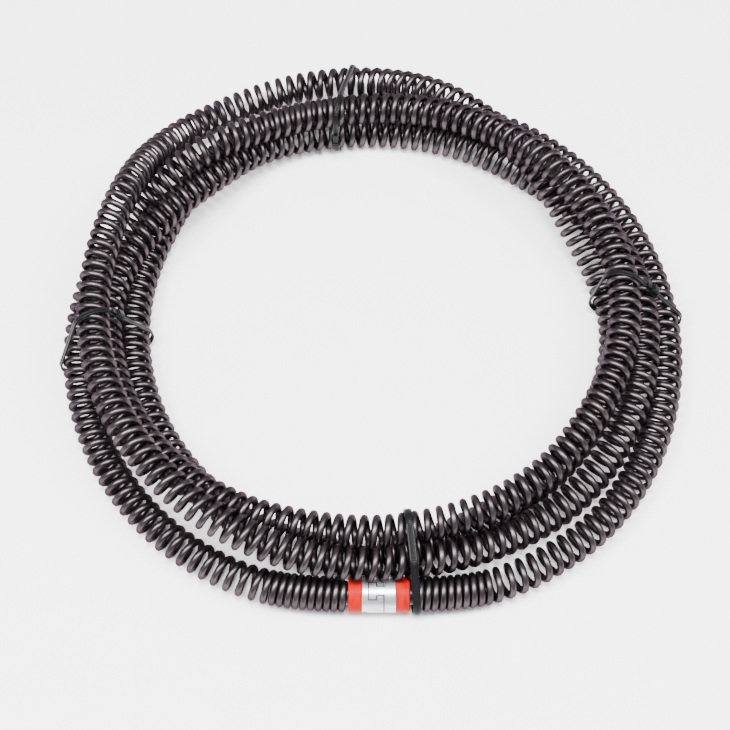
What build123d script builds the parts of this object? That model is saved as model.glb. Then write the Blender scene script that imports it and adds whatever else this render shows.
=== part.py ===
from build123d import *
from math import atan2, cos, degrees, radians, sin, sqrt, tan
import os

os.makedirs("parts", exist_ok=True)

# Drain auger: one section of open-wound spiral, coiled in four turns on the floor. Its two ends
# hook together at the front in a T-slot coupling, and four cable ties hold the bundle. The origin
# is under the middle of the bundle, on the floor, and -Y is the side of the coupling.

# Spiral
spiral_diameter = 22.0
wire_diameter = 4.5
spread = 1.025  # how much wider than touching the strands lie
coil_centre_y = -12.4
station_step = 15  # degrees round the coil from one point of the route to the next
bend_share = 0.45  # part of a run that each of its arcs may use

# Coupling, along its own axis from the middle of the hook
seam_x = 2.0
collar_radius = 10.9
collar_length = 3.8  # behind the slot's floor
male_collar_length = 7.5
hook_thickness = 4.2
hook_half_height = 5.0
neck_length = 4.6
neck_half_height = 2.4
slot_clearance = 0.6
shank_clearance = 0.05
spigot_radius = 8.0
shank_length = 18.0
hook_tilt = 81.0  # degrees that the slot's open side faces up from the front
edge_break = 0.5

# Marker rings
ring_length = 8.3
ring_radius = 10.7
ring_clearance = 0.05

# Lock plunger, its spring and the key that frees it
plunger_radius = 1.42
plunger_bore_radius = 1.5
plunger_nose = 1.1  # how far the nose stands out of the hook
plunger_head_radius = 2.3
plunger_head_length = 5.0
chamber_radius = 2.4
chamber_start = 7.0
nose_hole_radius = 1.6
key_hole_radius = 1.3
spring_wire = 0.5
spring_radius = 1.75
spring_turns = 10
stem_radius = 1.2
stem_length = 3.0
plug_length = 6.0
plug_clearance = 0.02
seat_gap = 0.05

# Cable ties
strap_width = 4.8
side_strap_width = 3.6
strap_thickness = 1.2
strap_clearance = 0.3
head_length = 7.0
head_margin = 2.6  # head wider than its strap
head_height = 4.6
tail_margin = 0.4  # tail narrower than its strap
tail_lift = 1.6
front_skew = -6.0
strap_facets = 72
section_steps = 720

spiral_radius = spiral_diameter / 2
shank_radius = spiral_radius - wire_diameter - shank_clearance
floor_height = strap_thickness + strap_clearance + spiral_radius
bored_length = shank_length + 1.0

# The route of the spiral's centre. Every turn is laid as 24 stations, 15 degrees apart, clockwise
# from the coupling: the distance from the middle of the coil, and the height above a strand that
# lies on the floor. A strand on two others is about 19 higher, and a crossing up to 44.
turn_beds = [
    [  # from the coupling out to the left, over the third strand at the back, then on top
        (180, 0), (186.3, 0), (190, 0), (191, 0), (191, 0), (190.5, 0),
        (190, 0), (187.5, 4), (182.5, 8.5), (171.5, 37.5), (160, 37), (159, 31),
        (163, 26), (161, 33), (157, 37.5), (155, 43.5), (155, 42), (158, 36),
        (159.5, 31), (157, 28), (153.5, 24.5), (151.5, 22.7), (150, 22), (147.3, 23.3),
    ],
    [  # raised between its neighbours on the left, innermost at the back, then outwards
        (146.7, 20), (150, 21), (156, 22.4), (161.5, 21.2), (165, 19.6), (169, 17),
        (172, 16.3), (169, 19.8), (157, 22.7), (153.5, 16.5), (161.5, 13), (160.5, 5),
        (159.8, 0), (159.8, 0), (160.5, 0), (163, 0), (166, 0), (170, 7),
        (173.5, 13.7), (173.7, 13), (173.5, 8), (172, 0.5), (168.5, 0), (167.5, 12.5),
    ],
    [  # on top at the left, outermost at the back, then inwards under the top strand
        (169, 19.3), (172.4, 21), (175.5, 33), (177, 38), (177.5, 39), (178, 38.5),
        (178.5, 38.5), (177, 41.4), (189.5, 42), (209, 14), (208.5, 0), (208, 0),
        (206, 8), (187, 27), (171.5, 20), (161.5, 22.8), (152, 19.3), (147.6, 11.5),
        (153.5, 1.5), (155, 0), (152.5, 0), (149.5, 0), (145.7, 0), (148.7, 0),
    ],
    [  # innermost on the floor, then outwards under the others and round to the coupling
        (157.5, 0), (157, 0), (155.5, 0), (154.5, 0), (154, 0), (154, 0),
        (155.5, 0), (158, 0), (161.5, 0), (171, 0), (180, 0), (182, 0),
        (181.5, 0), (181, 0), (188.5, 0), (189, 0), (189.5, 0), (190.5, 0),
        (191, 0), (192.5, 0), (194.5, 0), (195, 0), (192, 0), (186.3, 0),
    ],
]
turn_count = len(turn_beds)
stations_per_turn = len(turn_beds[0])

hook_half_length = (hook_thickness + neck_length) / 2
slot_floor = -hook_half_length - slot_clearance
collar_back = slot_floor - collar_length
ring_back = collar_back - ring_length
male_shoulder = hook_half_length + slot_clearance
male_collar_back = hook_half_length + male_collar_length
male_ring_back = male_collar_back + ring_length
left_end_x = seam_x + ring_back
right_end_x = seam_x + male_ring_back
end_straight = bored_length / (1 - bend_share) + 2.0


def station_point(turn, station):
    """A corner of the route, far enough out for the smooth curve to pass through the station."""
    distance, lift = turn_beds[turn][station]
    angle = radians(station * station_step)
    reach = distance * spread / cos(radians(station_step / 2))
    height = floor_height + lift * spread
    return Vector(-reach * sin(angle), coil_centre_y - reach * cos(angle), height)


front_y = station_point(0, 0).Y


def turn_corners(turn):
    """The corners of one turn, between the middles of the runs where it meets its neighbours."""
    corners = [station_point(turn, station) for station in range(stations_per_turn)]
    if turn == 0:
        bend = Vector(left_end_x - end_straight, front_y, floor_height)
        start = Vector(left_end_x - bored_length, front_y, floor_height)
        corners = [start, bend] + corners[2:]
    else:
        corners.insert(0, (station_point(turn - 1, -1) + corners[0]) / 2)
    if turn == turn_count - 1:
        bend = Vector(right_end_x + end_straight, front_y, floor_height)
        end = Vector(right_end_x + bored_length, front_y, floor_height)
        corners = corners[:-1] + [bend, end]
    else:
        corners.append((corners[-1] + station_point(turn + 1, 0)) / 2)
    return corners


def bend_radii(corners):
    """The largest arcs that the runs leave room for, one for each corner of a turn."""
    radii = []
    for index in range(1, len(corners) - 1):
        before = corners[index] - corners[index - 1]
        after = corners[index + 1] - corners[index]
        run_before = before.length * (2 if index == 1 else 1)
        run_after = after.length * (2 if index == len(corners) - 2 else 1)
        half_turn = radians(before.get_angle(after)) / 2
        radii.append(bend_share * min(run_before, run_after) / tan(half_turn))
    return radii


# The four turns
centrelines = []
for turn in range(turn_count):
    corners = turn_corners(turn)
    radii = bend_radii(corners)
    with BuildLine() as centreline:
        FilletPolyline(*corners, radius=radii)
    route = centreline.wire()
    with BuildPart() as spiral_turn:
        with BuildSketch(Plane(origin=route @ 0, z_dir=route % 0)) as strand:
            Circle(spiral_radius)
        sweep(path=route)
    centrelines.append(route)
    spiral_turn.part.label = f"spiral_turn_{turn + 1}"
    export_step(spiral_turn.part, f"parts/spiral_turn_{turn + 1}.step")
    fill = spiral_turn.part.volume / (route.length * strand.sketch.area)
    print(f"turn {turn + 1}: length {route.length:.1f}, volume over length times section {fill:.4f},",
          f"radii {min(radii):.0f} to {max(radii):.0f}")
    print("   ", " ".join(f"{radius:.0f}" for radius in radii))

# Planes of the coupling: along its axis, and across it with the slot's open side in front
axis_dir = Vector(1, 0, 0)
slide_dir = Vector(0, -cos(radians(hook_tilt)), sin(radians(hook_tilt)))
height_dir = slide_dir.cross(axis_dir)
coupling_centre = Vector(seam_x, front_y, floor_height)
hook_plane = Plane(origin=coupling_centre, x_dir=axis_dir, z_dir=slide_dir)
cross_plane = Plane(origin=coupling_centre, x_dir=height_dir, z_dir=axis_dir)


def round_stretch(start, end, radius, mode=Mode.ADD):
    """A cylinder of the part being built, between two places along the coupling's axis."""
    with BuildSketch(cross_plane.offset(start), mode=Mode.PRIVATE) as disc:
        Circle(radius)
    extrude(disc.sketch, amount=end - start, mode=mode)


# The ends of the spiral, where the coils close up round the shanks
for name, start in (("spiral_end_left", ring_back - bored_length), ("spiral_end_right", male_ring_back)):
    with BuildPart() as spiral_end:
        round_stretch(start, start + bored_length, spiral_radius)
        round_stretch(start, start + bored_length, spiral_radius - wire_diameter, Mode.SUBTRACT)
    spiral_end.part.label = name
    export_step(spiral_end.part, f"parts/{name}.step")

# Left half: the T-slot
with BuildPart() as coupling_female:
    round_stretch(collar_back, hook_half_length, collar_radius)
    chamfer(coupling_female.edges().filter_by(GeomType.CIRCLE), length=edge_break)
    round_stretch(ring_back, collar_back, spigot_radius)
    round_stretch(ring_back - shank_length, ring_back, shank_radius)
    with BuildSketch(hook_plane):
        hook_room = hook_thickness + 2 * slot_clearance
        with Locations((slot_floor + hook_room / 2, 0)):
            Rectangle(hook_room, 2 * (hook_half_height + slot_clearance))
        with Locations(((slot_floor + hook_half_length) / 2, 0)):
            Rectangle(hook_half_length - slot_floor, 2 * (neck_half_height + slot_clearance))
    extrude(amount=collar_radius + 1, both=True, mode=Mode.SUBTRACT)
    key_x = slot_floor - collar_length / 2
    round_stretch(key_x, slot_floor, nose_hole_radius, Mode.SUBTRACT)
    key_plane = Plane(origin=coupling_centre + axis_dir * key_x, x_dir=axis_dir, z_dir=-height_dir)
    with BuildSketch(key_plane):
        Circle(key_hole_radius)
    extrude(amount=collar_radius, mode=Mode.SUBTRACT)
coupling_female.part.label = "coupling_female"
export_step(coupling_female.part, "parts/coupling_female.step")

# Right half: the T-shaped hook, with the plunger's chamber behind it
with BuildPart() as coupling_male:
    with BuildSketch(hook_plane):
        with Locations((hook_thickness / 2 - hook_half_length, 0)):
            Rectangle(hook_thickness, 2 * hook_half_height)
        with Locations((hook_half_length - neck_length / 2 + slot_clearance, 0)):
            Rectangle(neck_length + 2 * slot_clearance, 2 * neck_half_height)
    extrude(amount=collar_radius, both=True)
    round_stretch(-hook_half_length, male_shoulder, collar_radius, Mode.INTERSECT)
    with BuildSketch(cross_plane.offset(male_shoulder)):
        Circle(collar_radius)
    extrude(amount=male_collar_back - male_shoulder)
    chamfer(coupling_male.edges().filter_by(GeomType.CIRCLE).sort_by(Axis.X)[-1], length=edge_break)
    round_stretch(male_collar_back, male_ring_back, spigot_radius)
    round_stretch(male_ring_back, male_ring_back + shank_length, shank_radius)
    round_stretch(-hook_half_length, chamber_start, plunger_bore_radius, Mode.SUBTRACT)
    round_stretch(chamber_start, male_ring_back + shank_length, chamber_radius, Mode.SUBTRACT)
coupling_male.part.label = "coupling_male"
export_step(coupling_male.part, "parts/coupling_male.step")

# Marker rings over the spigots
for name, start in (("marker_ring_left", ring_back), ("marker_ring_right", male_collar_back)):
    with BuildPart() as marker_ring:
        round_stretch(start + ring_clearance, start + ring_length - ring_clearance, ring_radius)
        chamfer(marker_ring.edges().filter_by(GeomType.CIRCLE), length=edge_break)
        round_stretch(start, start + ring_length, spigot_radius + ring_clearance, Mode.SUBTRACT)
    marker_ring.part.label = name
    export_step(marker_ring.part, f"parts/{name}.step")

# Lock plunger: a ball-nosed pin with a head that stops it, and a stem for the spring
plunger_tip = -hook_half_length - plunger_nose
head_start = chamber_start + seat_gap
head_end = head_start + plunger_head_length
with BuildPart() as lock_plunger:
    round_stretch(plunger_tip, head_start, plunger_radius)
    fillet(lock_plunger.edges().filter_by(GeomType.CIRCLE).sort_by(Axis.X)[0], radius=plunger_radius * 0.95)
    round_stretch(head_start, head_end, plunger_head_radius)
    round_stretch(head_end, head_end + stem_length, stem_radius)
lock_plunger.part.label = "lock_plunger"
export_step(lock_plunger.part, "parts/lock_plunger.step")

# Plug that closes the chamber at the end of the shank
plug_end = male_ring_back + shank_length
plug_start = plug_end - plug_length
with BuildPart() as spring_plug:
    round_stretch(plug_start, plug_end, chamber_radius - plug_clearance)
spring_plug.part.label = "spring_plug"
export_step(spring_plug.part, "parts/spring_plug.step")

# Lock spring between the plunger's head and the plug
spring_start = head_end + spring_wire / 2 + seat_gap
spring_length = plug_start - spring_wire / 2 - seat_gap - spring_start
with BuildPart() as lock_spring:
    with BuildLine() as coil:
        Helix(
            pitch=spring_length / spring_turns,
            height=spring_length,
            radius=spring_radius,
            center=coupling_centre + axis_dir * spring_start,
            direction=axis_dir,
        )
    with BuildSketch(Plane(origin=coil.line @ 0, z_dir=coil.line % 0)):
        Circle(spring_wire / 2)
    sweep(path=coil.line, is_frenet=True)
lock_spring.part.label = "lock_spring"
export_step(lock_spring.part, "parts/lock_spring.step")


end_run = Edge.make_line(
    (right_end_x, front_y, floor_height),
    (right_end_x + end_straight, front_y, floor_height),
)


def strand_crossings(plane):
    """Where the strands cross a plane: the place in its own coordinates, and the strand's heading."""
    crossings = []
    for line in centrelines + [end_run]:
        samples = [plane.to_local_coords(line @ (i / section_steps)) for i in range(section_steps + 1)]
        for here, there in zip(samples, samples[1:]):
            if here.Z * there.Z <= 0 and abs(here.X) < 2 * spiral_diameter:
                place = here + (there - here) * (here.Z / (here.Z - there.Z))
                crossings.append((place, (there - here).normalized()))
    return crossings


def strap_corners(crossings, clearance):
    """The corners of a band stretched round the strands, one for each way that it faces."""
    corners = []
    for step in range(strap_facets):
        facing = Vector(1, 0, 0).rotate(Axis.Z, step * 360 / strap_facets)
        touches = []
        for place, heading in crossings:
            lean = Vector(1, 0, 0).rotate(Axis.Z, degrees(atan2(heading.Y, heading.X)))
            across = Vector(-lean.Y, lean.X, 0)
            along_lean = facing.dot(lean) * (spiral_radius / heading.Z) ** 2
            along_across = facing.dot(across) * spiral_radius**2
            reach = sqrt(along_lean * facing.dot(lean) + along_across * facing.dot(across))
            touches.append(Vector(place.X, place.Y, 0) + (lean * along_lean + across * along_across) / reach)
        furthest = max(touches, key=lambda touch: touch.dot(facing))
        corners.append(furthest + facing * clearance)
    return [(corner.X, corner.Y) for corner in corners]


def tie_body(plane, width, head_angle, tail_length):
    """A cable tie in one piece: the strap pulled tight round the strands, its head and its tail."""
    crossings = []
    for offset in (-width / 2, 0, width / 2):
        crossings += strand_crossings(plane.offset(offset))
    with BuildSketch(plane, mode=Mode.PRIVATE) as room:
        Polygon(*strap_corners(crossings, strap_clearance), align=None)
    with BuildSketch(plane, mode=Mode.PRIVATE) as band:
        Polygon(*strap_corners(crossings, strap_clearance + strap_thickness), align=None)
    inner = room.sketch
    outer = band.sketch
    rim = outer.faces()[0].outer_wire()
    middle = outer.faces()[0].center()
    wanted = plane.x_dir * cos(radians(head_angle)) + plane.y_dir * sin(radians(head_angle))
    spots = [i / section_steps for i in range(section_steps)]
    spot = max(spots, key=lambda share: ((rim @ share) - middle).normalized().dot(wanted))
    along = rim % spot
    if along.Z < 0:
        along = -along
    outward = along.cross(plane.z_dir)
    if outward.dot(wanted) < 0:
        outward = -outward
    head_plane = Plane(origin=rim @ spot, x_dir=along, z_dir=outward)
    with BuildPart() as tie:
        extrude(outer, amount=width / 2, both=True)
        with BuildSketch(head_plane.offset(-strap_thickness / 2)):
            RectangleRounded(head_length, width + head_margin, 1.0)
        extrude(amount=head_height + strap_thickness / 2)
        with BuildSketch(head_plane.offset(tail_lift)):
            with Locations((head_length / 2 + tail_length / 2 - 0.5, 0)):
                Rectangle(tail_length + 1.0, width - tail_margin)
        extrude(amount=strap_thickness)
        extrude(inner, amount=width + head_margin, both=True, mode=Mode.SUBTRACT)
    return tie.part


def tie_plane(angle, distance, skew):
    """An upright plane across the bundle, turned by the skew from square to it."""
    direction = radians(angle)
    origin = Vector(-distance * sin(direction), coil_centre_y - distance * cos(direction), 0)
    outward = Vector(-sin(direction + radians(skew)), -cos(direction + radians(skew)), 0)
    return Plane(origin=origin, x_dir=outward, z_dir=outward.cross(Vector(0, 0, 1)))


# Cable ties: where each one stands round the coil and its skew, where its head sits, and its tail
tie_distance = 175.0
front_tie_x = right_end_x + strap_width / 2 + 0.8
front_outward = Vector(-sin(radians(front_skew)), -cos(radians(front_skew)), 0)
front_plane = Plane(
    origin=(front_tie_x, front_y, 0),
    x_dir=front_outward,
    z_dir=front_outward.cross(Vector(0, 0, 1)),
)
tie_settings = {
    "tie_front": (front_plane, strap_width, 180, 4.0),
    "tie_left": (tie_plane(85, tie_distance, -18), side_strap_width, 120, 4.0),
    "tie_back": (tie_plane(172.7, tie_distance, 17.3), side_strap_width, 190, 9.0),
    "tie_right": (tie_plane(265, tie_distance, 18), side_strap_width, 60, 4.0),
}
for name, (plane, width, head_angle, tail_length) in tie_settings.items():
    cable_tie = tie_body(plane, width, head_angle, tail_length)
    cable_tie.label = name
    export_step(cable_tie, f"parts/{name}.step")
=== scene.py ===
from math import atan2, cos, radians, sin, tau

import bmesh
import bpy
from mathutils import Matrix, Vector

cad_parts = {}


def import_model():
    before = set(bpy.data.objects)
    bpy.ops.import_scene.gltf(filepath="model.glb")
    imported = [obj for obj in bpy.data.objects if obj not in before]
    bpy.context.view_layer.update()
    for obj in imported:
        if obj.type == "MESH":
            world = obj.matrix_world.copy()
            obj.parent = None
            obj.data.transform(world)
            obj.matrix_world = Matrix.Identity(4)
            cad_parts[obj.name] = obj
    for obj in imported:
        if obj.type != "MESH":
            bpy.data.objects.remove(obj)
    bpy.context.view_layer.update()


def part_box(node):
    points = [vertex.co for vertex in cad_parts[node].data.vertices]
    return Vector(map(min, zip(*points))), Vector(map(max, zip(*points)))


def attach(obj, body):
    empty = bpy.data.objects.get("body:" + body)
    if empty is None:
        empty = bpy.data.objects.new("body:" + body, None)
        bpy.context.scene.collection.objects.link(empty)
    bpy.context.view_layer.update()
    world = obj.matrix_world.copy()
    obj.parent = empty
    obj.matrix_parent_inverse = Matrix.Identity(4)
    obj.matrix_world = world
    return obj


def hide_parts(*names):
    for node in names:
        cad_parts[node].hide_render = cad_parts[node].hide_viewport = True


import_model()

# ------------------------------------------------------------------ the spiral's route
# The points are part.py's, most of them nudged.
SPREAD = 1.025
CENTRE_Y = -0.0124
FLOOR = 0.0125  # height of a strand's middle when it lies on the ties' straps
STRAND = 0.011  # radius
WIRE = 0.00225  # radius
END_STRAIGHT = 0.0365
STATIONS = 24  # in each turn
ARC = tau / STATIONS

# distance from the middle of the coil and height over a strand on the floor, in mm, every 15 degrees
TURNS = [
    [
        (180, 0), (186.3, 0), (190, 0), (191, 0), (191, 0), (190.5, 0),
        (190, 0), (187, 4), (179, 13), (166, 34), (161, 30), (160, 27),
        (162.5, 24.5), (160, 31), (157, 37), (155, 43), (158, 38), (161.5, 31.5),
        (160.5, 29), (157, 26), (153.5, 24), (153.5, 21), (151.5, 20.5), (150, 20.5),
    ],
    [
        (150, 19), (152, 20.7), (158, 21.5), (162, 20.7), (166, 18.5), (169, 17),
        (172, 16.3), (167, 19.5), (158, 20.5), (155, 14.5), (161, 7), (162, 1),
        (161, 0), (161, 0), (161.5, 0), (163, 0), (169.5, 4.5), (173, 13),
        (174, 13), (174, 12), (173.5, 8), (172, 2), (168, 4), (167.5, 12.5),
    ],
    [
        (169.5, 19), (171.5, 22), (174, 32.5), (174.5, 37.5), (174.5, 38.7), (174.7, 38.3),
        (176, 38.3), (177.5, 39.8), (185, 37), (201.5, 11), (206.5, 0), (208, 0),
        (201.5, 6), (183, 23), (171, 19.5), (159.5, 20.5), (151.5, 13), (155, 2.5),
        (158, 0), (155.5, 0), (152, 0), (150, 0), (149, 0), (152.5, 0),
    ],
    [
        (159, 0), (157.5, 0), (156, 0), (154.5, 0), (154, 0), (154, 0),
        (155.5, 0), (158, 0), (162, 0), (171.5, 0), (179.5, 0), (181, 0),
        (180.5, 0), (181, 0), (188, 0), (188.5, 0), (188.5, 0), (188.5, 0),
        (189.5, 0), (191, 0), (193.5, 0), (194.5, 0), (191.5, 0), (186.3, 0),
    ],
]
left_end = Vector(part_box("spiral_end_left")[1])
right_end = Vector(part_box("spiral_end_right")[0])
front_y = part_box("spiral_end_left")[0][1] + STRAND


def station(turn, index):
    distance, lift = TURNS[turn][index]
    reach = distance * 0.001 * SPREAD / cos(ARC / 2)
    angle = ARC * index
    return Vector((-reach * sin(angle), CENTRE_Y - reach * cos(angle), FLOOR + lift * 0.001 * SPREAD))


route = [Vector((left_end.x, front_y, FLOOR)), Vector((left_end.x - END_STRAIGHT, front_y, FLOOR))]
for turn in range(len(TURNS)):
    for index in range(STATIONS):
        if (turn, index) not in ((0, 0), (0, 1), (3, 23)):
            route.append(station(turn, index))
route += [Vector((right_end.x + END_STRAIGHT, front_y, FLOOR)), Vector((right_end.x, front_y, FLOOR))]


def nurbs(name, points):
    curve = bpy.data.curves.new(name, "CURVE")
    curve.dimensions = "3D"
    spline = curve.splines.new("NURBS")
    spline.points.add(len(points) - 1)
    for place, point in zip(spline.points, points):
        place.co = (*point, 1)
    spline.order_u = 3
    spline.use_endpoint_u = True
    spline.resolution_u = 16
    holder = bpy.data.objects.new(name, curve)
    line = bpy.data.meshes.new_from_object(holder)
    places = [vertex.co.copy() for vertex in line.vertices]
    bpy.data.objects.remove(holder)
    bpy.data.meshes.remove(line)
    return places


line = nurbs("route", route)


# ------------------------------------------------------------------ camera, lights and floor
def look_at(obj, target):
    obj.rotation_euler = (Vector(target) - obj.location).to_track_quat("-Z", "Y").to_euler()


FOCUS = Vector((0, CENTRE_Y, 0.0012))
DISTANCE = 1.025
ELEVATION = 60
camera_data = bpy.data.cameras.new("camera")
camera = bpy.data.objects.new("camera", camera_data)
bpy.context.collection.objects.link(camera)
camera.location = FOCUS + DISTANCE * Vector((0, -cos(radians(ELEVATION)), sin(radians(ELEVATION))))
look_at(camera, FOCUS)
camera_data.sensor_width = 36
camera_data.lens = 74.96
camera_data.shift_x = -0.011
camera_data.shift_y = -0.037
bpy.context.scene.camera = camera


def area_light(name, place, wide, tall, power):
    """A softbox that looks at the middle of the floor."""
    data = bpy.data.lights.new(name, "AREA")
    data.shape = "RECTANGLE"
    data.size = wide
    data.size_y = tall
    data.energy = power
    obj = bpy.data.objects.new(name, data)
    bpy.context.collection.objects.link(obj)
    obj.location = place
    look_at(obj, (0, 0, 0))


area_light("key", (-0.75, -0.35, 1.45), 0.5, 0.6, 52)
area_light("fill", (0.85, -0.2, 1.4), 0.5, 0.6, 36)
area_light("top", (0, -0.3, 1.9), 0.7, 0.45, 78)

world = bpy.data.worlds.new("studio")
world.use_nodes = True
world.node_tree.nodes["Background"].inputs["Color"].default_value = (0.97, 0.98, 1, 1)
world.node_tree.nodes["Background"].inputs["Strength"].default_value = 1.0
bpy.context.scene.world = world


# ------------------------------------------------------------------ materials
def material(name):
    made = bpy.data.materials.new(name)
    made.use_nodes = True
    return made, made.node_tree.nodes, made.node_tree.links, made.node_tree.nodes["Principled BSDF"]


def noise_node(nodes, links, scale, detail=4, rough=0.55, stretch=None):
    place = nodes.new("ShaderNodeTexCoord")
    out = place.outputs["Object"]
    if stretch:
        mapping = nodes.new("ShaderNodeMapping")
        mapping.inputs["Scale"].default_value = stretch
        links.new(out, mapping.inputs["Vector"])
        out = mapping.outputs["Vector"]
    texture = nodes.new("ShaderNodeTexNoise")
    texture.inputs["Scale"].default_value = scale
    texture.inputs["Detail"].default_value = detail
    texture.inputs["Roughness"].default_value = rough
    links.new(out, texture.inputs["Vector"])
    return texture.outputs["Fac"]


def ramp(nodes, links, value, stops):
    node = nodes.new("ShaderNodeValToRGB")
    elements = node.color_ramp.elements
    while len(elements) < len(stops):
        elements.new(0.5)
    for element, (position, colour) in zip(elements, stops):
        element.position = position
        element.color = (*colour, 1)
    links.new(value, node.inputs["Fac"])
    return node.outputs["Color"]


def spread_to(nodes, links, value, low, high):
    node = nodes.new("ShaderNodeMapRange")
    node.inputs["To Min"].default_value = low
    node.inputs["To Max"].default_value = high
    links.new(value, node.inputs["Value"])
    return node.outputs["Result"]


def bump(nodes, links, shader, height, strength, distance):
    node = nodes.new("ShaderNodeBump")
    node.inputs["Strength"].default_value = strength
    node.inputs["Distance"].default_value = distance
    links.new(height, node.inputs["Height"])
    links.new(node.outputs["Normal"], shader.inputs["Normal"])


def phosphated_wire():
    made, nodes, links, shader = material("phosphated_wire")
    patches = noise_node(nodes, links, 55, 3)
    grain = noise_node(nodes, links, 900, 5, 0.6)
    links.new(
        ramp(
            nodes,
            links,
            patches,
            [(0.3, (0.046, 0.037, 0.041)), (0.55, (0.062, 0.051, 0.056)), (0.75, (0.082, 0.067, 0.066))],
        ),
        shader.inputs["Base Color"],
    )
    shader.inputs["Metallic"].default_value = 1.0
    shader.inputs["Specular Tint"].default_value = (0.40, 0.37, 0.40, 1)
    links.new(spread_to(nodes, links, grain, 0.28, 0.42), shader.inputs["Roughness"])
    bump(nodes, links, shader, grain, 0.12, 0.0002)
    return made


RING_MIDDLE = (left_end.x + right_end.x) / 2
RING_REACH = (right_end.x - left_end.x) / 2


def turned_steel():
    made, nodes, links, shader = material("turned_steel")
    rings = noise_node(nodes, links, 1, 3, 0.5, (2600, 60, 60))
    spots = noise_node(nodes, links, 260, 4)
    bright = ramp(nodes, links, spots, [(0.25, (0.42, 0.42, 0.44)), (0.6, (0.56, 0.56, 0.575))])
    # painted shade: a near-black ramp for the shanks that sit in the shade inside the wire
    painted_shade = ramp(nodes, links, spots, [(0.25, (0.016, 0.014, 0.015)), (0.6, (0.030, 0.026, 0.027))])
    # the shanks beyond the marker rings, inside the wire, are painted near black as shade
    place = nodes.new("ShaderNodeTexCoord")
    apart = nodes.new("ShaderNodeSeparateXYZ")
    links.new(place.outputs["Object"], apart.inputs["Vector"])
    value = apart.outputs["X"]
    for operation, amount in (("SUBTRACT", RING_MIDDLE), ("ABSOLUTE", 0), ("GREATER_THAN", RING_REACH)):
        step = nodes.new("ShaderNodeMath")
        step.operation = operation
        links.new(value, step.inputs[0])
        step.inputs[1].default_value = amount
        value = step.outputs["Value"]
    mix = nodes.new("ShaderNodeMix")
    mix.data_type = "RGBA"
    links.new(value, mix.inputs["Factor"])
    links.new(bright, mix.inputs["A"])
    links.new(painted_shade, mix.inputs["B"])
    links.new(mix.outputs["Result"], shader.inputs["Base Color"])
    shader.inputs["Metallic"].default_value = 0.9
    links.new(spread_to(nodes, links, rings, 0.24, 0.42), shader.inputs["Roughness"])
    bump(nodes, links, shader, rings, 0.15, 0.0001)
    return made


def red_lacquer():
    made, nodes, links, shader = material("marker_red")
    streaks = noise_node(nodes, links, 1, 3, 0.5, (900, 90, 90))
    links.new(
        ramp(
            nodes,
            links,
            streaks,
            [(0.3, (0.24, 0.0016, 0.0008)), (0.55, (0.31, 0.003, 0.001)), (0.8, (0.38, 0.009, 0.003))],
        ),
        shader.inputs["Base Color"],
    )
    shader.inputs["Specular IOR Level"].default_value = 0.06
    links.new(spread_to(nodes, links, streaks, 0.36, 0.52), shader.inputs["Roughness"])
    bump(nodes, links, shader, streaks, 0.1, 0.0001)
    return made


def black_nylon():
    made, nodes, links, shader = material("black_nylon")
    mottle = noise_node(nodes, links, 700, 4)
    links.new(
        ramp(nodes, links, mottle, [(0.3, (0.002, 0.002, 0.0025)), (0.7, (0.005, 0.005, 0.006))]),
        shader.inputs["Base Color"],
    )
    shader.inputs["Specular IOR Level"].default_value = 0.09
    links.new(spread_to(nodes, links, mottle, 0.26, 0.40), shader.inputs["Roughness"])
    bump(nodes, links, shader, mottle, 0.1, 0.0001)
    return made


def ground_steel():
    made, nodes, links, shader = material("ground_steel")
    rings = noise_node(nodes, links, 1, 3, 0.5, (3200, 200, 200))
    links.new(
        ramp(nodes, links, rings, [(0.3, (0.45, 0.45, 0.47)), (0.7, (0.60, 0.60, 0.62))]),
        shader.inputs["Base Color"],
    )
    shader.inputs["Metallic"].default_value = 1.0
    links.new(spread_to(nodes, links, rings, 0.2, 0.35), shader.inputs["Roughness"])
    return made


def floor_white():
    made, nodes, links, shader = material("floor_white")
    fine = noise_node(nodes, links, 30, 3)
    links.new(
        ramp(nodes, links, fine, [(0.3, (0.955, 0.955, 0.96)), (0.7, (0.975, 0.975, 0.978))]),
        shader.inputs["Base Color"],
    )
    shader.inputs["Roughness"].default_value = 0.6
    return made


wire_look = phosphated_wire()
steel_look = turned_steel()
red_look = red_lacquer()
nylon_look = black_nylon()
lock_look = ground_steel()


def mesh_object(name, verts, faces, look):
    mesh = bpy.data.meshes.new(name)
    mesh.from_pydata(verts, [], faces)
    mesh.materials.append(look)
    mesh.polygons.foreach_set("use_smooth", [True] * len(mesh.polygons))
    mesh.update()
    obj = bpy.data.objects.new(name, mesh)
    bpy.context.collection.objects.link(obj)
    return obj


# ------------------------------------------------------------------ the wound spring
CLOSE_PITCH = 0.00458
OPEN_PITCH = 0.00800
CLOSE_LENGTH = 0.046
EASE = 0.010
END_TURN = 30  # degrees behind the top where the wire starts and stops
SIDES = 9
STEPS = 18


def frames_along(places):
    """The line's points with their distance, heading and a side direction that doesn't twist."""
    out = []
    walked = 0.0
    side = None
    for i, point in enumerate(places):
        ahead = places[min(i + 1, len(places) - 1)]
        behind = places[max(i - 1, 0)]
        heading = (ahead - behind).normalized()
        if side is None:
            side = Vector((0, 0, 1))
        side = (side - heading * side.dot(heading)).normalized()
        if i:
            walked += (point - places[i - 1]).length
        out.append((walked, point, heading, side))
    return out


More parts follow.
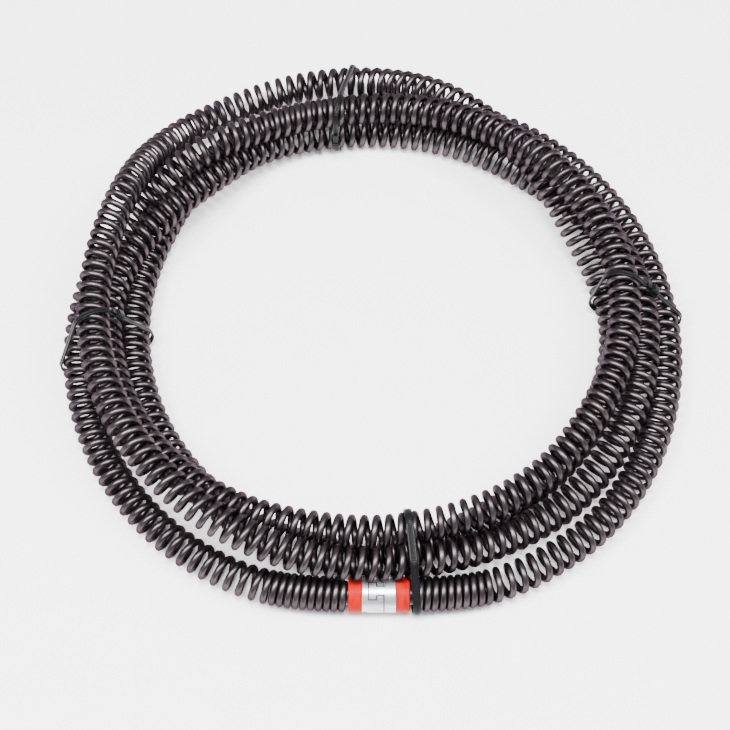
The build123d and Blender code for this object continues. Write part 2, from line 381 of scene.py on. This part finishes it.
def make_spring():
    stops = frames_along(line)
    total = stops[-1][0]

    def pitch(s):
        from_end = min(s, total - s)
        open_share = min(max((from_end - CLOSE_LENGTH) / EASE, 0), 1)
        return CLOSE_PITCH + (OPEN_PITCH - CLOSE_PITCH) * open_share

    cursor = 0
    wire_end = Vector((0, sin(radians(END_TURN)), cos(radians(END_TURN))))

    def frame_at(s):
        nonlocal cursor
        while cursor < len(stops) - 2 and stops[cursor + 1][0] < s:
            cursor += 1
        a, b = stops[cursor], stops[cursor + 1]
        t = (s - a[0]) / max(b[0] - a[0], 1e-9)
        heading = a[2].lerp(b[2], t).normalized()
        side = a[3].lerp(b[3], t)
        side = (side - heading * side.dot(heading)).normalized()
        return a[1].lerp(b[1], t), heading, side, heading.cross(side)

    coil = STRAND - WIRE

    def wind(stretch):
        """The wire's centre, its outward and its own heading, and how far it turned."""
        nonlocal cursor
        cursor = 0
        centre = []
        s = WIRE
        turned = 0.0
        while s < total - WIRE:
            point, heading, side, other = frame_at(s)
            angle = radians(END_TURN) - turned
            radial = side * cos(angle) + other * sin(angle)
            tangent = side * sin(angle) - other * cos(angle)
            step = pitch(s) * stretch
            run = (tangent * tau * coil + heading * step).normalized()
            centre.append((point + radial * coil, radial, run))
            turned += tau / STEPS
            s += step / STEPS
        return centre, turned

    # the pitch is tightened a little, so that the wire's far end stops behind the strand too
    centre, turned = wind(1.0)
    heading = stops[-1][2]
    radial = centre[-1][1]
    short_by = -atan2(heading.dot(radial.cross(wire_end)), radial.dot(wire_end)) % tau
    centre, _ = wind(turned / (turned + short_by))
    verts = []
    faces = []
    for place, radial, run in centre:
        across = run.cross(radial)
        for k in range(SIDES):
            angle = tau * k / SIDES
            verts.append(place + (radial * cos(angle) + across * sin(angle)) * WIRE)
    for i in range(len(centre) - 1):
        for k in range(SIDES):
            a = i * SIDES + k
            b = i * SIDES + (k + 1) % SIDES
            faces.append((a, b, b + SIDES, a + SIDES))
    last = len(verts) - SIDES
    faces.append(tuple(range(SIDES - 1, -1, -1)))
    faces.append(tuple(range(last, last + SIDES)))
    return mesh_object("spiral_wire", verts, faces, wire_look), total


spring, spring_length = make_spring()
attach(spring, "bundle")
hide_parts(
    "spiral_turn_1",
    "spiral_turn_2",
    "spiral_turn_3",
    "spiral_turn_4",
    "spiral_end_left",
    "spiral_end_right",
)

# ------------------------------------------------------------------ cable ties
STRAP_THICK = 0.0012
STRAP_RIM = 0.00028  # rounding of the strap's edges
TOOTH_MARGIN = 0.0010  # plain border beside the teeth
TOOTH_SLOPE = 0.00025
HEAD_LENGTH = 0.0066
HEAD_HEIGHT = 0.0043
HEAD_RIM_LENGTH = 0.0046
TAIL_START = 0.0030
TAIL_LIFT = 0.0020
TAIL_PLAIN = 0.0020  # length of the tail without ribs
RIB_START = 0.0042
SUNK_BY = 0.0001  # how far one block of a tie goes into the next
STRAP_GAP = 0.0002
TOOTH_PITCH = 0.0011
TOOTH_DEPTH = 0.00022


def crossings(origin, outward, across):
    """Where the route crosses an upright plane: outward distance, height and the strand's heading."""
    found = []
    for here, there in zip(line, line[1:]):
        a = (here - origin).dot(across)
        b = (there - origin).dot(across)
        if a * b <= 0 and a != b:
            place = here.lerp(there, a / (a - b)) - origin
            if abs(place.dot(outward)) < 0.045:
                heading = (there - here).normalized()
                through = heading.dot(across)
                found.append((place.dot(outward), place.z, heading.dot(outward), heading.z, through))
    return found


def band_corners(found, clearance, count=180):
    """The corners of a band pulled tight round the strands, with the way that each one faces."""
    out = []
    for step in range(count):
        angle = tau * step / count
        face = (cos(angle), sin(angle))
        best = None
        for x, z, hx, hz, through in found:
            size = (hx * hx + hz * hz) ** 0.5
            lean = (hx / size, hz / size) if size > 1e-6 else (1.0, 0.0)
            side = (-lean[1], lean[0])
            along_lean = face[0] * lean[0] + face[1] * lean[1]
            along_side = face[0] * side[0] + face[1] * side[1]
            u = along_lean * (STRAND / through) ** 2
            v = along_side * STRAND**2
            reach = (u * along_lean + v * along_side) ** 0.5
            point = (x + (lean[0] * u + side[0] * v) / reach, z + (lean[1] * u + side[1] * v) / reach)
            far = point[0] * face[0] + point[1] * face[1]
            if best is None or far > best[0]:
                best = (far, point)
        out.append(((best[1][0] + face[0] * clearance, best[1][1] + face[1] * clearance), face))
    return out


def spaced(corners, step):
    """Points at even steps along the closed band, each with the way that the band faces there."""
    out = []
    left = 0.0
    count = len(corners)
    for i in range(count):
        (a, face_a), (b, face_b) = corners[i], corners[(i + 1) % count]
        run = ((b[0] - a[0]) ** 2 + (b[1] - a[1]) ** 2) ** 0.5
        while left < run:
            t = left / run
            face = (face_a[0] + (face_b[0] - face_a[0]) * t, face_a[1] + (face_b[1] - face_a[1]) * t)
            size = (face[0] ** 2 + face[1] ** 2) ** 0.5
            place = (a[0] + (b[0] - a[0]) * t, a[1] + (b[1] - a[1]) * t)
            out.append((place, (face[0] / size, face[1] / size)))
            left += step
        left -= run
    return out


def box_piece(made, frame_at, size, edge, taper=0.0):
    """A block with rounded edges, added to the mesh: length, width and height along the frame's axes."""
    start = bmesh.ops.create_cube(made, size=1)["verts"]
    for vert in start:
        rise = vert.co.z + 0.5
        shrink = 1 - taper * rise
        vert.co = Vector((vert.co.x * size[0] * shrink, vert.co.y * size[1] * shrink, rise * size[2]))
    edges = list({e for vert in start for e in vert.link_edges})
    bevelled = bmesh.ops.bevel(made, geom=edges, offset=edge, segments=3, affect="EDGES", profile=0.7)
    everything = set(bevelled["verts"]) | {v for v in start if v.is_valid}
    grown = set(everything)
    frontier = list(everything)
    while frontier:
        vert = frontier.pop()
        for link in vert.link_edges:
            other = link.other_vert(vert)
            if other not in grown:
                grown.add(other)
                frontier.append(other)
    for vert in grown:
        vert.co = frame_at @ vert.co


def make_tie(name, angle, distance, skew, width, head_angle, tail, place=None):
    """A cable tie pulled tight round the strands, in a plane set as in part.py."""
    direction = radians(angle)
    origin = place or Vector((-distance * sin(direction), CENTRE_Y - distance * cos(direction), 0))
    turned_to = direction + radians(skew)
    outward = Vector((-sin(turned_to), -cos(turned_to), 0))
    across = outward.cross(Vector((0, 0, 1)))
    found = []
    for offset in (-width / 2, 0, width / 2):
        found += crossings(origin + across * offset, outward, across)
    corners = band_corners(found, STRAP_GAP)
    ring = spaced(corners, TOOTH_PITCH / 4)

    def world(x, z, along):
        return origin + outward * x + across * along + Vector((0, 0, z))

    verts = []
    faces = []
    half = width / 2
    rim = STRAP_RIM
    border = half - TOOTH_MARGIN
    toothed = border - TOOTH_SLOPE
    profile = [
        (-half, rim), (-half + rim, 0), (half - rim, 0), (half, rim), (half, STRAP_THICK - rim),
        (half - rim, STRAP_THICK), (border, STRAP_THICK), (toothed, STRAP_THICK),
        (-toothed, STRAP_THICK), (-border, STRAP_THICK), (-half + rim, STRAP_THICK),
        (-half, STRAP_THICK - rim),
    ]
    for i, ((x, z), face) in enumerate(ring):
        sunk = TOOTH_DEPTH * (1.0 if i % 4 in (1, 2) else 0.15)
        for j, (along, out) in enumerate(profile):
            lift = out - (sunk if j in (7, 8) else 0)
            verts.append(world(x + face[0] * lift, z + face[1] * lift, along))
    wide = len(profile)
    for i in range(len(ring)):
        for j in range(wide):
            a = i * wide + j
            b = i * wide + (j + 1) % wide
            c = ((i + 1) % len(ring)) * wide
            faces.append((a, c + j, c + (j + 1) % wide, b))
    tie = mesh_object(name, verts, faces, nylon_look)
    middle = (sum(c[0][0] for c in corners) / len(corners), sum(c[0][1] for c in corners) / len(corners))
    want = (cos(radians(head_angle)), sin(radians(head_angle)))

    def facing(entry):
        dx, dz = entry[0][0] - middle[0], entry[0][1] - middle[1]
        return (dx * want[0] + dz * want[1]) / (dx * dx + dz * dz) ** 0.5

    (x, z), face = max(ring, key=facing)
    base = world(x, z, 0)
    up = world(face[0], face[1], 0) - world(0, 0, 0)
    along = up.cross(across)
    if along.z < 0:
        along = -along
    axes = Matrix((along, up.cross(along), up)).transposed().to_4x4()
    made = bmesh.new()
    made.from_mesh(tie.data)

    def block(forward, rise, size, edge, taper=0.0):
        box_piece(made, Matrix.Translation(base + along * forward + up * rise) @ axes, size, edge, taper)

    block(0, -SUNK_BY, (HEAD_LENGTH, width + 0.0024, HEAD_HEIGHT + SUNK_BY), 0.0009, 0.10)
    block(0, HEAD_HEIGHT - 2 * SUNK_BY, (HEAD_RIM_LENGTH, width + 0.0004, 0.0005), 0.0002)
    block(TAIL_START + tail / 2, TAIL_LIFT, (tail, width - 0.0004, STRAP_THICK), 0.0004)
    for k in range(int((tail - TAIL_PLAIN) / TOOTH_PITCH)):
        forward = RIB_START + (k + 0.5) * TOOTH_PITCH
        block(forward, TAIL_LIFT + STRAP_THICK - SUNK_BY, (0.0005, width - 0.0022, TOOTH_DEPTH), 0.00008)
    made.to_mesh(tie.data)
    made.free()
    tie.data.polygons.foreach_set("use_smooth", [True] * len(tie.data.polygons))
    tie.data.update()
    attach(tie, "bundle")
    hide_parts(name.replace("nylon_", ""))


tie_place = Vector((right_end.x + 0.0032, front_y, 0))
make_tie("nylon_tie_front", 0, 0, -6, 0.0048, 180, 0.005, tie_place)
make_tie("nylon_tie_left", 85, 0.175, -18, 0.0036, 120, 0.005)
make_tie("nylon_tie_back", 172.7, 0.175, 17.3, 0.0036, 190, 0.009)
make_tie("nylon_tie_right", 265, 0.175, 18, 0.0036, 60, 0.005)

# ------------------------------------------------------------------ looks of the CAD nodes
looks = {
    "coupling_female": steel_look,
    "coupling_male": steel_look,
    "marker_ring_left": red_look,
    "marker_ring_right": red_look,
    "lock_plunger": lock_look,
    "lock_spring": lock_look,
    "spring_plug": lock_look,
}
for node, look in looks.items():
    materials = bpy.data.objects[node].data.materials
    if materials:
        for i in range(len(materials)):
            materials[i] = look
    else:
        materials.append(look)

# ------------------------------------------------------------------ floor
bpy.ops.mesh.primitive_plane_add(size=6, location=(0, 0, 0))
floor = bpy.context.object
floor.name = "floor"
floor.data.materials.append(floor_white())
